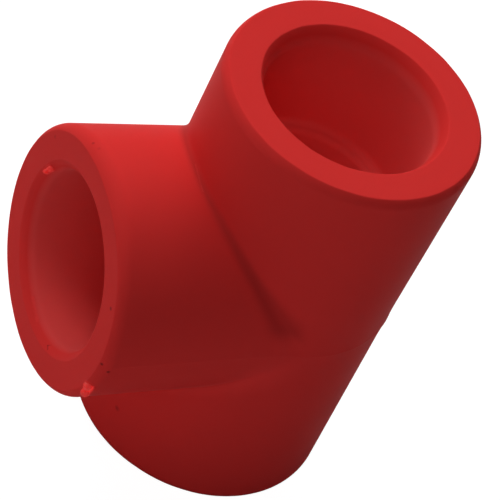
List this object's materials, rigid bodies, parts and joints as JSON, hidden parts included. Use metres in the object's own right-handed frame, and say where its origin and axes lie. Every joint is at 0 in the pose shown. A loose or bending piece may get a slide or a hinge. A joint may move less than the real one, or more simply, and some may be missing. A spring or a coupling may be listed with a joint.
{
  "type": "pipe tee",
  "caption": "Equal pipe tee with socket ends, moulded as one solid piece of red plastic, for joining a branch pipe to a straight run.",
  "frame": {"origin": "centre of the lower socket's mouth, on the plane of its end face, which the tee stands on", "axes": "+Z along the run from the lower mouth to the upper one, +X along the branch towards its mouth"},
  "size_m": [0.0499, 0.0364, 0.0634],
  "materials": {
    "red_plastic": "satin"
  },
  "bodies": {
    "root": {"tee_body": "red_plastic"}
  },
  "joints": []
}
